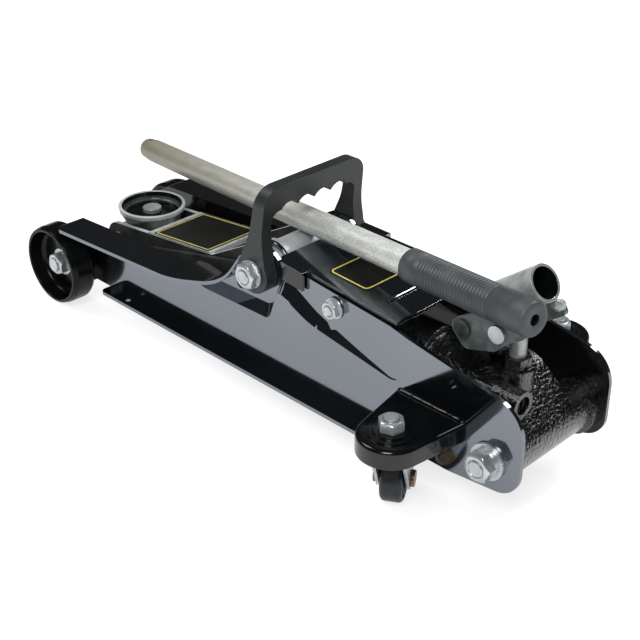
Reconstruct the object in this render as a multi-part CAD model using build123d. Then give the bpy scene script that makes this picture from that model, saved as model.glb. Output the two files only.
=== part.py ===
"""Low-profile two-tonne hydraulic trolley jack with a loose pump bar lying on top.

Millimetres. +X points to the rear, -Y is the left side, +Z is up.
The origin is on the floor, under the middle of the jack.
"""
import math
import os
from build123d import *

os.makedirs("parts", exist_ok=True)

# General sizes and clearances
sheet = 3.0
run_gap = 0.05
slide_gap = 0.4
seat_gap = 0.3
bolt_hole_gap = 0.2

# Frame
plate_low_z = 23.0
plate_hump_z = 123.0
plate_tail = 25.5
flange_front_z = 75.0
web_inner_y = 47.0
joggle_depth = 8.0
top_flange_width = 26.0
low_flange_width = 14.0

# Front wheels and axle
axle_x = -224.0
wheel_r = 35.0
wheel_rim_r = 33.6
wheel_rim_wall = 2.8
wheel_width = 23.5
wheel_cup_depth = 14.0
wheel_web_gap = 4.0
axle_r = 6.0

# Lift arm
pivot_x = 10.5
pivot_z = 105.0
pivot_shaft_r = 9.0
arm_half_width = 29.0
arm_sheet = 4.0
arm_half_depth = 14.0
arm_knee_x = -59.5
arm_knee_z = 72.0
arm_end_r = 18.6
hub_r = 16.2
hub_boss_r = 14.2
hub_boss_length = 7.0
hub_ring_r = 17.6
hub_ring_width = 1.6
crank_length = 38.0
crank_rest_angle = 35.0
roller_r = 9.0
roller_half_length = 20.0
roller_pin_r = 5.0

# Saddle and its base
saddle_pin_back = 36.0
saddle_pin_z = 58.0
saddle_pin_r = 6.0
saddle_back = 48.0
saddle_top_z = 85.0
saddle_base_top_z = 66.0
saddle_rim_r = 29.0
saddle_foot_r = 20.5
saddle_rim_wall = 3.0
saddle_cup_depth = 7.0
saddle_bolt_r = 5.0

# Link rods, parallel to the arm
link_dx = -18.0
link_dz = -14.0
link_sheet = 4.0
link_half_width = 8.0
link_pin_r = 4.5

# Carry handle
handle_top_z = 174.0
handle_half_span = 51.3
handle_bar_height = 20.0
handle_depth = 10.5
handle_lean = 9.75
handle_leg = 8.0
handle_foot = 11.0
handle_boss_r = 16.0
handle_bolt_r = 6.0

# Cover plate
cover_front_x = 28.5
cover_rear_x = 148.0
cover_front_z = 118.6
cover_rear_z = 113.2
cover_sheet = 2.5
cover_side_gap = 1.2
cover_edge_inset = 2.0
cover_tab_drop = 12.0
cover_tab_inset = 3.0
cover_tab_length = 26.0
cover_bolt_x = 89.0
cover_bolt_z = 104.0
cover_bolt_r = 4.0
cover_bolt_flange_r = 8.2

# Hydraulic unit
trunnion_x = 233.5
trunnion_z = 48.0
trunnion_r = 17.5
trunnion_collar_r = 20.5
trunnion_collar_width = 7.0
unit_half_width = 26.0
ram_z = 70.0
ram_r = 12.0
ram_head_r = 13.0
ram_head_length = 6.0
ram_gap = 0.9
cylinder_r = 23.0
cap_length = 8.0
spigot_r = 18.0
spigot_length = 20.0
unit_length = 61.5
gland_height = 8.0
gland_across = 18.0
filler_x = 120.0
cylinder_front_x = 64.0
cylinder_rear_back = 73.5
plunger_back = 19.0
plunger_r = 6.0
gland_top_z = 100.0
valve_y = -20.0
valve_z = 78.0
valve_r = 5.0
rear_bolt_r = 6.0

# Handle socket
socket_pin_back = 47.0
socket_pin_z = 118.6
socket_pin_r = 5.0
socket_mouth_back = 2.5
socket_mouth_z = 160.0
socket_angle = 37.0
socket_length = 48.0
socket_bore_r = 11.0
socket_outer_r = 13.0
cheek_inner_y = 20.0
cheek_sheet = 4.0
push_pin_z = 125.4
push_pin_r = 4.5
pin_head_r = 6.5
pin_head_height = 2.6

# Return spring of the arm
spring_r = 4.6
spring_wire = 2.0
spring_y = 31.8
spring_stud_r = 3.0
spring_stud_reach = 23.5
spring_stud_angle = 20.0
spring_rear_back = 43.5
spring_rear_z = 88.5
spring_front_tail = 26.0
spring_rear_tail = 12.0

# Rear casters
caster_back = 48.7
caster_y = 91.5
caster_trail = 20.0
caster_wheel_r = 18.0
caster_wheel_width = 16.0
caster_axle_r = 4.0
caster_turn = 121.0
bracket_top_z = 67.5
bracket_r = 23.7
bracket_sheet = 3.5
bracket_skirt = 14.0
bracket_root_length = 61.0
stem_r = 5.0
race_height = 11.0
fork_gap = 1.2
fork_sheet = 2.5

# Loose pump bar
bar_front_reach = 0.5
bar_rear_reach = 14.0
bar_rear_y = -32.2
bar_rear_z = 152.0
bar_rest_y = 2.8
bar_rest_z = 131.61
bar_r = 10.0
bar_wall = 1.6
bar_taper = 12.0
bar_taper_angle = 6.0
bar_button_r = 2.5
grip_r = 12.3
grip_length = 118.0
grip_cap = 5.0

# Worked-out places
plate_rear_x = trunnion_x + plate_tail
plunger_x = trunnion_x - plunger_back
push_pin_x = plunger_x
socket_pin_x = trunnion_x - socket_pin_back
saddle_pin_x = axle_x + saddle_pin_back
saddle_x = axle_x + saddle_back
socket_mouth_x = trunnion_x - socket_mouth_back
cylinder_rear_x = trunnion_x - cylinder_rear_back
caster_x = trunnion_x - caster_back
unit_front_x = trunnion_x - unit_length - cylinder_r
web_outer_y = web_inner_y + sheet
joggle_inner_y = web_inner_y - joggle_depth
joggle_outer_y = web_outer_y - joggle_depth
crank_angle = math.radians(crank_rest_angle)
roller_x = pivot_x + crank_length * math.sin(crank_angle)
roller_z = pivot_z - crank_length * math.cos(crank_angle)
stud_angle = math.radians(spring_stud_angle)
spring_front = Vector(pivot_x + spring_stud_reach * math.cos(stud_angle), -spring_y,
                      pivot_z - spring_stud_reach * math.sin(stud_angle))
spring_rear = Vector(trunnion_x - spring_rear_back, -spring_y, spring_rear_z)
link_front = (saddle_pin_x + link_dx, saddle_pin_z + link_dz)
link_rear = (pivot_x + link_dx, pivot_z + link_dz)
wheel_inner_y = web_outer_y + wheel_web_gap
wheel_outer_y = wheel_inner_y + wheel_width
wheel_cup_y = wheel_outer_y - wheel_cup_depth


def outline(*corners):
    """Face from corners (x, z) or (x, z, radius), with tangent arcs at the rounded ones."""
    edges = []
    ends = []
    count = len(corners)
    for i, corner in enumerate(corners):
        here = Vector(corner[0], corner[1])
        radius = corner[2] if len(corner) > 2 else 0
        before = Vector(*corners[i - 1][:2])
        after = Vector(*corners[(i + 1) % count][:2])
        if radius == 0:
            ends.append((here, here))
            continue
        back = (before - here).normalized()
        ahead = (after - here).normalized()
        half = math.acos(max(-1, min(1, back.dot(ahead)))) / 2
        run = radius / math.tan(half)
        first = here + back * run
        last = here + ahead * run
        middle = here + (back + ahead).normalized() * (radius / math.sin(half) - radius)
        edges.append(ThreePointArc(first, middle, last))
        ends.append((first, last))
    for i in range(count):
        edges.append(Line(ends[i - 1][1], ends[i][0]))
    return make_face(edges)


def prism(face, y_from, y_to):
    """Extrude a face drawn in X and Z between two places along Y."""
    low = min(y_from, y_to)
    high = max(y_from, y_to)
    return extrude(Plane.XZ.offset(-high) * face, amount=high - low)


def disc(x, z, radius):
    return Pos(x, z) * Circle(radius)


def hull(*faces):
    edges = []
    for face in faces:
        edges += face.edges()
    return make_hull(edges)


def rod_y(x, z, radius, y_from, y_to):
    return prism(disc(x, z, radius), y_from, y_to)


def rod_z(x, y, radius, z_from, z_to):
    return Pos(x, y, z_from) * extrude(Circle(radius), amount=z_to - z_from)


def rod_x(y, z, radius, x_from, x_to):
    return extrude(Plane((x_from, y, z), z_dir=(1, 0, 0)) * Circle(radius), amount=x_to - x_from)


def hex_y(x, z, across, y_from, y_to):
    return prism(Pos(x, z) * RegularPolygon(across / 2, 6, major_radius=False, rotation=12), y_from, y_to)


def hex_z(x, y, across, z_from, z_to):
    shape = RegularPolygon(across / 2, 6, major_radius=False, rotation=20)
    return Pos(x, y, z_from) * extrude(shape, amount=z_to - z_from)


def other_side(shape):
    return mirror(shape, about=Plane.XZ)


def both_sides(shape):
    return Compound(children=[*solids(shape), *solids(other_side(shape))])


def solids(shape):
    return list(shape.solids())


def save(name, shape):
    found = solids(shape)
    shape = found[0] if len(found) == 1 else Compound(children=found)
    export_step(shape, f"parts/{name}.step")


def save_pair(name, shape):
    save("left_" + name, shape)
    save("right_" + name, other_side(shape))


# Side plate: a flanged pressing, joggled inwards round the arm pivot and under the cover
plate_face = outline(
    (axle_x + 28, plate_low_z, 6), (trunnion_x - 33, plate_low_z, 60), (plate_rear_x, plate_low_z + 6, 20),
    (plate_rear_x, 94, 26), (trunnion_x - 90, 112.5, 20), (pivot_x + 50, 116), (pivot_x + 17.5, 117.4, 3),
    (pivot_x + 9.5, plate_hump_z, 8), (pivot_x - 12.5, plate_hump_z, 12), (pivot_x - 32.5, 86, 26),
    (axle_x + 11.5, flange_front_z, 3), (axle_x - 20, 57, 16), (axle_x - 20, 16, 18), (axle_x + 18, 16, 8))
wedge_front_x = pivot_x + 23.5
wedge_rear_x = trunnion_x - 73.5
edge_x = 500
pad_foot_face = outline(
    (-edge_x, -20), (edge_x, -20), (edge_x, 150), (wedge_rear_x - 8, 150), (wedge_rear_x - 8, 77, 12),
    (pivot_x + 58, 96, 60), (pivot_x + 22, 109, 5), (pivot_x + 10, 78, 10), (pivot_x - 70, 76, 20),
    (pivot_x - 95, 150), (-edge_x, 150))
pad_crest_face = outline(
    (-edge_x, -20), (edge_x, -20), (edge_x, 150), (wedge_rear_x, 150), (wedge_rear_x, 70, 14),
    (pivot_x + 56, 84, 66), (pivot_x + 24, 98, 4), (pivot_x + 14, 71, 7), (pivot_x - 74, 69, 24),
    (pivot_x - 103, 150), (-edge_x, 150))


def panel_relief():
    """What stands out from the joggled level: the main panel and the tilted panel under the cover."""
    foot = Plane.XZ.offset(joggle_outer_y) * pad_foot_face
    crest = Plane.XZ.offset(web_outer_y) * pad_crest_face
    tilted = make_face(Polyline((wedge_front_x, -joggle_outer_y), (wedge_rear_x, -joggle_outer_y),
                                (wedge_rear_x, -web_outer_y), close=True))
    return loft([foot, crest], ruled=True) + Pos(0, 0, 70) * extrude(tilted, amount=80)


def side_plate():
    relief = panel_relief()
    skin = prism(plate_face, -joggle_inner_y, -joggle_outer_y) + relief
    skin = skin & prism(plate_face, -joggle_inner_y, -web_outer_y)
    plate = skin - Pos(0, sheet, 0) * relief
    edge_y = web_outer_y + top_flange_width
    strip = plate_face - Pos(0, -sheet) * plate_face
    front_x = axle_x + 11
    knee_x = pivot_x - 76.5
    tail_x = pivot_x - 16.5
    front = make_face(Polyline((front_x, 60), (knee_x, 60), (knee_x, 130), (front_x, 130), close=True))
    hump = make_face(Polyline((knee_x, 60), (tail_x - 4, 60), (tail_x, 112), (knee_x, 112), close=True))
    flange = prism(strip & front, -web_inner_y, -edge_y)
    flange += prism(strip & hump, -joggle_inner_y - 0.5, -edge_y)
    plan = outline(
        (front_x, -joggle_inner_y), (front_x, -edge_y, 8), (knee_x + 8, -edge_y, 60),
        (tail_x, -joggle_outer_y - 5), (tail_x, -joggle_inner_y))
    flange = flange & extrude(plan, amount=140)
    plate += flange
    low_y = web_outer_y + low_flange_width
    low = outline((axle_x + 52, -web_inner_y), (axle_x + 52, -low_y, 5),
                  (caster_x - 39, -low_y, 12), (caster_x - 33, -web_inner_y))
    plate += Pos(0, 0, plate_low_z) * extrude(low, amount=sheet)
    plate -= rod_y(axle_x, wheel_r, axle_r + bolt_hole_gap, 0, -100)
    plate -= rod_y(pivot_x, pivot_z, handle_bolt_r + bolt_hole_gap, 0, -100)
    plate -= rod_y(*link_rear, link_pin_r + run_gap, 0, -100)
    plate -= rod_y(cover_bolt_x, cover_bolt_z, cover_bolt_r + bolt_hole_gap, 0, -100)
    plate -= rod_y(trunnion_x, trunnion_z, rear_bolt_r + bolt_hole_gap, 0, -100)
    plate -= rod_y(pivot_x - 25.5, 83.5, 4.5, 0, -100)
    slot = Pos(trunnion_x - 28, 92) * Rot(0, 0, -18.5) * SlotOverall(15, 9)
    plate -= prism(slot, -web_inner_y + 1, -web_outer_y - 1)
    plate -= rod_z(axle_x + 83, -web_outer_y - 8, 2.5, 0, 40)
    return plate


save_pair("side_plate", side_plate())


# Front axle, wheels and their fasteners
nut_y = wheel_cup_y + seat_gap + 1.5
axle_end_y = nut_y + 9.5
save("front_axle", rod_y(axle_x, wheel_r, axle_r, -axle_end_y, axle_end_y))
spacer = rod_y(axle_x, wheel_r, 12, -web_outer_y, -wheel_inner_y + seat_gap)
save("front_wheel_spacers", both_sides(spacer - rod_y(axle_x, wheel_r, axle_r + run_gap, 0, -100)))
washer = rod_y(axle_x, wheel_r, 12, -wheel_cup_y - seat_gap, -nut_y)
save("front_axle_washers", both_sides(washer - rod_y(axle_x, wheel_r, axle_r + run_gap, 0, -100)))
nut = hex_y(axle_x, wheel_r, 18, -nut_y, -nut_y - 8)
save("front_axle_nuts", both_sides(nut - rod_y(axle_x, wheel_r, axle_r + run_gap, 0, -100)))


def front_wheel():
    """Turned profile: radius from the axle against distance out from the web."""
    back_y = wheel_inner_y + 6
    bore_r = axle_r + run_gap
    cup_r = wheel_rim_r - wheel_rim_wall
    profile = outline(
        (bore_r, wheel_inner_y), (13, wheel_inner_y), (15, back_y, 2), (wheel_r - 5, back_y, 2),
        (wheel_r - 4, wheel_inner_y + 1), (wheel_r - 2, wheel_inner_y + 1, 1),
        (wheel_r, wheel_inner_y + 4, 3), (wheel_r, wheel_outer_y - 5, 4), (wheel_rim_r, wheel_outer_y, 1.4),
        (cup_r, wheel_outer_y, 0.8), (cup_r - 1.5, wheel_cup_y, 5), (bore_r, wheel_cup_y))
    flat = Plane((axle_x, 0, wheel_r), x_dir=(1, 0, 0), z_dir=(0, 0, -1))
    return revolve(flat * profile, Axis((axle_x, 0, wheel_r), (0, 1, 0)))


save_pair("front_wheel", front_wheel())


# Lift arm: two cheeks, a top plate, a hub tube and the crank for the ram
arm_run = Vector(arm_knee_x - saddle_pin_x, arm_knee_z - saddle_pin_z).normalized()
arm_up = Vector(-arm_run.Y, arm_run.X)


def along_arm(distance, rise):
    point = Vector(saddle_pin_x, saddle_pin_z) + arm_run * distance + arm_up * rise
    return (point.X, point.Y)


def lift_arm():
    tip = disc(saddle_pin_x, saddle_pin_z, arm_half_depth)
    knee = disc(arm_knee_x, arm_knee_z, arm_half_depth)
    end = disc(pivot_x, pivot_z, arm_end_r)
    crank = disc(roller_x, roller_z, 12)
    side = hull(tip, knee) + hull(knee, end) + hull(end, crank)
    inner = arm_half_width - arm_sheet
    cheek = prism(side, -inner, -arm_half_width)
    cheek += rod_y(pivot_x, pivot_z, hub_boss_r, -arm_half_width + 2, -arm_half_width - hub_boss_length)
    tip_gap = 44
    crown = arm_half_depth + 0.8
    top = outline(along_arm(tip_gap, crown), along_arm(124, crown),
                  along_arm(124, crown - arm_sheet), along_arm(tip_gap, crown - arm_sheet))
    arm = cheek + other_side(cheek) + prism(top, -arm_half_width + 0.6, arm_half_width - 0.6)
    arm += rod_y(pivot_x, pivot_z, hub_r, -inner, inner)
    tie = along_arm(70, -3)
    arm += rod_y(*tie, 6, -inner, inner)
    arm += rod_y(spring_front.X, spring_front.Z, spring_stud_r, -inner - 1, -spring_y - 3)
    arm -= rod_y(pivot_x, pivot_z, pivot_shaft_r + run_gap, -60, 60)
    arm -= rod_y(roller_x, roller_z, roller_pin_r + run_gap, -60, 60)
    arm -= rod_y(saddle_pin_x, saddle_pin_z, saddle_pin_r + run_gap, -60, 60)
    return arm


save("lift_arm", lift_arm())
hub_ring_y = arm_half_width + run_gap
ring = rod_y(pivot_x, pivot_z, hub_ring_r, -hub_ring_y, -hub_ring_y - hub_ring_width)
save("arm_hub_rings", both_sides(ring - rod_y(pivot_x, pivot_z, hub_boss_r + run_gap, 0, -60)))
shaft = rod_y(pivot_x, pivot_z, pivot_shaft_r, -joggle_inner_y, joggle_inner_y)
bolt_depth = 16
shaft -= rod_y(pivot_x, pivot_z, handle_bolt_r + run_gap, -joggle_inner_y, -joggle_inner_y + bolt_depth)
shaft -= rod_y(pivot_x, pivot_z, handle_bolt_r + run_gap, joggle_inner_y, joggle_inner_y - bolt_depth)
save("arm_pivot_shaft", shaft)
collar = rod_y(pivot_x, pivot_z, 13, -arm_half_width - hub_boss_length - slide_gap, -joggle_inner_y)
save("arm_pivot_collars", both_sides(collar - rod_y(pivot_x, pivot_z, pivot_shaft_r + run_gap, 0, -60)))
roller = rod_y(roller_x, roller_z, roller_r, -roller_half_length, roller_half_length)
save("ram_roller", roller - rod_y(roller_x, roller_z, roller_pin_r + run_gap, -60, 60))
save("ram_roller_pin", rod_y(roller_x, roller_z, roller_pin_r, -arm_half_width - 1.5, arm_half_width + 1.5))


# Saddle, its level base and the link rods that keep it level
def saddle_base():
    half = arm_half_width - arm_sheet - slide_gap
    pin_boss = disc(saddle_pin_x, saddle_pin_z, 12)
    seat_height = 5
    seat_z = saddle_base_top_z - seat_height / 2
    seat = Pos(saddle_x, seat_z) * Rectangle(saddle_foot_r * 2 - 2, seat_height)
    foot = disc(*link_front, 8)
    base = prism(hull(pin_boss, seat), -half, half) + prism(hull(pin_boss, foot), -half, half)
    base -= Pos(saddle_pin_x, 0, saddle_base_top_z + 10) * Box(80, 80, 20)
    base -= rod_y(saddle_pin_x, saddle_pin_z, saddle_pin_r + run_gap, -60, 60)
    base -= rod_y(*link_front, link_pin_r + run_gap, -60, 60)
    base -= rod_z(saddle_x, 0, saddle_bolt_r + run_gap, 48, 100)
    return base


def saddle():
    low = saddle_base_top_z + seat_gap
    floor_z = saddle_top_z - saddle_cup_depth
    inner = saddle_rim_r - saddle_rim_wall
    profile = outline(
        (saddle_bolt_r + run_gap, low), (saddle_foot_r, low, 2), (saddle_rim_r - 1, saddle_top_z - 5, 3),
        (saddle_rim_r, saddle_top_z, 1), (inner, saddle_top_z, 1), (inner - 2, floor_z, 2),
        (saddle_bolt_r + run_gap, floor_z))
    flat = Plane((saddle_x, 0, 0), x_dir=(1, 0, 0), z_dir=(0, -1, 0))
    return revolve(flat * profile, Axis((saddle_x, 0, 0), (0, 0, 1)))


save("saddle_base", saddle_base())
pin_end_y = arm_half_width + 1.2
save("saddle_pin", rod_y(saddle_pin_x, saddle_pin_z, saddle_pin_r, -pin_end_y, pin_end_y))
save("saddle", saddle())
bolt_seat_z = saddle_top_z - saddle_cup_depth + seat_gap
saddle_bolt = rod_z(saddle_x, 0, saddle_bolt_r, 49, bolt_seat_z)
saddle_bolt += rod_z(saddle_x, 0, 8, bolt_seat_z, bolt_seat_z + 3.6)
save("saddle_bolt", saddle_bolt)

link_y = arm_half_width + 2
link_face = hull(disc(*link_front, link_half_width), disc(*link_rear, link_half_width))
link = prism(link_face, -link_y, -link_y - link_sheet)
link -= rod_y(*link_front, link_pin_r + slide_gap, 0, -60)
link -= rod_y(*link_rear, link_pin_r + run_gap, 0, -60)
save_pair("link_rod", link)
link_end_y = link_y + link_sheet
save("link_front_pin", rod_y(*link_front, link_pin_r, -link_end_y - 1.5, link_end_y + 1.5))
save("link_rear_pins", both_sides(rod_y(*link_rear, link_pin_r, -link_y + 0.5, -joggle_outer_y)))


# Carry handle over the arm pivot, with finger scallops under its bar
def carry_handle():
    """Bow seen along X, cut by the leaning and flaring shape that its legs have seen from the side."""
    foot_y = joggle_outer_y + seat_gap
    boss_y = foot_y + handle_foot
    low = pivot_z - handle_boss_r
    flare_z = pivot_z + handle_boss_r
    bar_low = handle_top_z - handle_bar_height
    span = handle_half_span
    bow = outline(
        (-boss_y, low), (-boss_y, flare_z, 20), (-span, handle_top_z, 15), (span, handle_top_z, 15),
        (boss_y, flare_z, 20), (boss_y, low), (foot_y, low), (foot_y, flare_z, 14),
        (span - handle_leg, bar_low, 8), (-span + handle_leg, bar_low, 8),
        (-foot_y, flare_z, 14), (-foot_y, low))
    reach = handle_boss_r + handle_lean
    section = Plane((pivot_x - reach, 0, 0), x_dir=(0, 1, 0), z_dir=(1, 0, 0))
    handle = extrude(section * bow, amount=2 * reach)
    top_x = pivot_x + handle_lean
    half = handle_depth / 2
    waist_z = pivot_z + 2 * handle_boss_r
    side = disc(pivot_x, pivot_z, handle_boss_r) + outline(
        (pivot_x - 14, pivot_z + 6), (pivot_x - 2.5, waist_z, 40), (top_x - half, handle_top_z + 1),
        (top_x + half, handle_top_z + 1), (pivot_x + 10.5, waist_z, 60), (pivot_x + 14, pivot_z + 6))
    handle = handle & prism(side, -2 * span, 2 * span)
    pitch = 17
    scallop_r = 9.5
    scallop_rise = 4.5
    scallop_z = bar_low - scallop_r + scallop_rise
    for step in (-1.5, -0.5, 0.5, 1.5):
        handle -= rod_x(step * pitch, scallop_z, scallop_r, pivot_x - reach, pivot_x + reach)
    hole = rod_y(pivot_x, pivot_z, handle_bolt_r + bolt_hole_gap, -2 * span, 2 * span)
    return handle - hole, boss_y


handle_shape, handle_boss_y = carry_handle()
save("carry_handle", handle_shape)
bolt = rod_y(pivot_x, pivot_z, handle_bolt_r, -joggle_inner_y + bolt_depth - 1, -handle_boss_y)
bolt += rod_y(pivot_x, pivot_z, 13, -handle_boss_y, -handle_boss_y - 2)
bolt += hex_y(pivot_x, pivot_z, 19, -handle_boss_y - 2, -handle_boss_y - 9)
save("carry_handle_bolts", both_sides(bolt))


# Cover plate over the hydraulic unit
def cover_band(x_from, x_to, drop):
    """Strip of the cover's side view, from its top face down to a drop below its underside."""
    slope = (cover_rear_z - cover_front_z) / (cover_rear_x - cover_front_x)
    near_z = cover_front_z + (x_from - cover_front_x) * slope
    far_z = cover_front_z + (x_to - cover_front_x) * slope
    return outline((x_from, near_z - drop), (x_to, far_z - drop), (x_to, far_z + cover_sheet),
                   (x_from, near_z + cover_sheet))


def panel_y_at(x):
    """Outer face of the tilted panel under the cover."""
    share = (x - wedge_front_x) / (wedge_rear_x - wedge_front_x)
    return joggle_outer_y + joggle_depth * max(0, share)


def cover_plan(x_from, x_to, beyond):
    """Plan of the cover between two places, with its edges a distance beyond the panels' outer faces."""
    near_y = panel_y_at(x_from) + beyond
    far_y = panel_y_at(x_to) + beyond
    return make_face(Polyline((x_from, -near_y), (x_to, -far_y), (x_to, far_y), (x_from, near_y), close=True))


def cover_plate():
    """Sheet lying over the panels' top edges, with a tab bent down outside each panel."""
    tab_x = cover_front_x + cover_tab_inset
    tab_end_x = tab_x + cover_tab_length
    reach = web_outer_y + 4 * cover_sheet
    tall = 200
    top = prism(cover_band(cover_front_x, cover_rear_x, 0), -reach, reach)
    cover = top & extrude(cover_plan(cover_front_x, cover_rear_x, -cover_edge_inset), amount=tall)
    tab_outer = cover_plan(tab_x, tab_end_x, cover_side_gap + cover_sheet)
    cover += top & extrude(tab_outer, amount=tall)
    tab_ring = extrude(tab_outer - cover_plan(tab_x, tab_end_x, cover_side_gap), amount=tall)
    cover += prism(cover_band(tab_x, tab_end_x, cover_tab_drop), -reach, reach) & tab_ring
    ear_y = joggle_inner_y - 1
    ear = Pos(cover_bolt_x, -ear_y, cover_bolt_z + 2) * Box(20, cover_sheet, 23)
    ear -= rod_y(cover_bolt_x, cover_bolt_z, cover_bolt_r + run_gap, 0, -100)
    cover += ear + other_side(ear)
    rib_x = cover_rear_x - 24
    rib_face = cover_band(rib_x, cover_rear_x, 0)
    rib_z = rib_face.bounding_box().max.Y
    cover += rod_y(rib_x, rib_z - 1.2, 3, -30, 30)
    return cover


save("cover_plate", cover_plate())
panel_y = panel_y_at(cover_bolt_x)
bolt = rod_y(cover_bolt_x, cover_bolt_z, cover_bolt_r, -36, -panel_y - 1)
bolt += rod_y(cover_bolt_x, cover_bolt_z, cover_bolt_flange_r, -panel_y - 0.7, -panel_y - 2.2)
bolt += hex_y(cover_bolt_x, cover_bolt_z, 13, -panel_y - 2.2, -panel_y - 8)
save("cover_bolts", both_sides(bolt))


# Hydraulic unit: casting with its trunnion barrel, cylinder, ram, pump and release valve
def unit_body():
    barrel = disc(trunnion_x, trunnion_z, trunnion_r)
    middle = disc(trunnion_x - 28.5, ram_z - 4, cylinder_r)
    front = disc(trunnion_x - unit_length, ram_z, cylinder_r)
    body = prism(hull(barrel, middle) + hull(middle, front), -unit_half_width, unit_half_width)
    body += rod_y(trunnion_x, trunnion_z, trunnion_r, -web_inner_y + seat_gap, web_inner_y - seat_gap)
    for side in (-1, 1):
        collar_y = side * (web_inner_y - seat_gap)
        inner_y = collar_y - side * trunnion_collar_width
        body += rod_y(trunnion_x, trunnion_z, trunnion_collar_r, collar_y, inner_y)
    body += rod_z(plunger_x, 0, 13, ram_z, gland_top_z - gland_height)
    lug = hull(disc(socket_pin_x, socket_pin_z, 9.5), Pos(socket_pin_x - 2, 84) * Rectangle(30, 6))
    body += prism(lug, -9, 9)
    body += rod_x(valve_y, valve_z, 2 * valve_r, trunnion_x - 33, trunnion_x + 3)
    body -= rod_x(valve_y, valve_z, valve_r + run_gap, trunnion_x - 20, trunnion_x + 10)
    body -= rod_x(valve_y, valve_z, valve_r + 1.6, trunnion_x - 3, trunnion_x + 10)
    body += rod_y(spring_rear.X, spring_rear.Z, spring_stud_r, -unit_half_width + 6, -spring_y - 3)
    body -= rod_z(plunger_x, 0, plunger_r + run_gap, 62, 130)
    body -= rod_y(socket_pin_x, socket_pin_z, socket_pin_r + run_gap, -60, 60)
    for side in (-1, 1):
        body -= rod_y(trunnion_x, trunnion_z, rear_bolt_r + run_gap, side * 60, side * 24)
    body -= rod_x(0, ram_z, spigot_r + run_gap, unit_front_x - 1, cylinder_rear_x)
    return body


ram_face_x = roller_x + roller_r + ram_gap
ram_tail_x = cylinder_rear_x - spigot_length
save("unit_body", unit_body())
cylinder = rod_x(0, ram_z, cylinder_r, cylinder_front_x + cap_length, unit_front_x)
cylinder += rod_x(0, ram_z, cylinder_r - 4, cylinder_front_x, cylinder_front_x + 2 * cap_length)
cylinder += rod_x(0, ram_z, spigot_r, unit_front_x - cap_length, cylinder_rear_x)
cylinder -= rod_x(0, ram_z, ram_r + run_gap, cylinder_front_x - 1, ram_tail_x + 1)
save("hydraulic_cylinder", cylinder)
ram = rod_x(0, ram_z, ram_r, ram_face_x + ram_head_length, ram_tail_x)
save("ram", ram + rod_x(0, ram_z, ram_head_r, ram_face_x, ram_face_x + ram_head_length))
filler_z = ram_z + cylinder_r
filler = rod_z(filler_x, 0, 5, filler_z - 1, filler_z + 3) - cylinder
save("filler_plug", filler + rod_z(filler_x, 0, 7, filler_z + seat_gap, filler_z + 3))
gland = hex_z(plunger_x, 0, gland_across, gland_top_z - gland_height, gland_top_z)
save("pump_gland_nut", gland - rod_z(plunger_x, 0, plunger_r + run_gap, 60, 130))
plunger_top_z = push_pin_z - push_pin_r - slide_gap
save("pump_plunger", rod_z(plunger_x, 0, plunger_r, 76, plunger_top_z))
valve = rod_x(valve_y, valve_z, valve_r, trunnion_x - 18, trunnion_x + 1)
valve -= Pos(trunnion_x, valve_y, valve_z) * Box(6, 2.4, 20)
save("release_valve", valve)


# Return spring between the arm's stud and the casting's stud, as a plain cylinder with its end loops
def return_spring():
    run = (spring_rear - spring_front).normalized()
    length = (spring_rear - spring_front).length
    loop_r = spring_stud_r + slide_gap + spring_wire / 2
    coil = Plane(spring_front + run * spring_front_tail, z_dir=run) * Circle(spring_r)
    spring = extrude(coil, amount=length - spring_front_tail - spring_rear_tail)
    wire = Plane(spring_front + run * loop_r, z_dir=run) * Circle(spring_wire / 2)
    spring += extrude(wire, amount=length - 2 * loop_r)
    for end in (spring_front, spring_rear):
        spring += Pos(end) * Rot(90, 0, 0) * Torus(loop_r, spring_wire / 2)
    return spring


save("return_spring", return_spring())


# Rear bolts that carry the trunnion
def ring_y(radius, y_from, y_to):
    ring = rod_y(trunnion_x, trunnion_z, radius, y_from, y_to)
    return ring - rod_y(trunnion_x, trunnion_z, rear_bolt_r + run_gap, 0, -100)


washer_y = web_outer_y + 2.5
lock_y = washer_y + 3
save("rear_washers", both_sides(ring_y(13.5, -web_outer_y, -washer_y)))
save("rear_spring_washers", both_sides(ring_y(10.5, -washer_y, -lock_y)))
bolt = rod_y(trunnion_x, trunnion_z, rear_bolt_r, -26, -lock_y)
bolt += hex_y(trunnion_x, trunnion_z, 19, -lock_y, -lock_y - 8)
bolt_end = rod_y(trunnion_x, trunnion_z, 8.5, -lock_y, -lock_y - 8.6)
save("rear_bolts", both_sides(bolt + bolt_end))


# Handle socket: short tube in a forked yoke that presses the pump plunger
socket_tilt = math.radians(socket_angle)
socket_run = Vector(math.cos(socket_tilt), 0, math.sin(socket_tilt))
socket_mouth = Vector(socket_mouth_x, 0, socket_mouth_z)
socket_end = socket_mouth - socket_run * socket_length


def socket_rod(radius, start, finish):
    base = socket_mouth - socket_run * start
    return extrude(Plane(base, z_dir=-socket_run) * Circle(radius), amount=finish - start)


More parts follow.
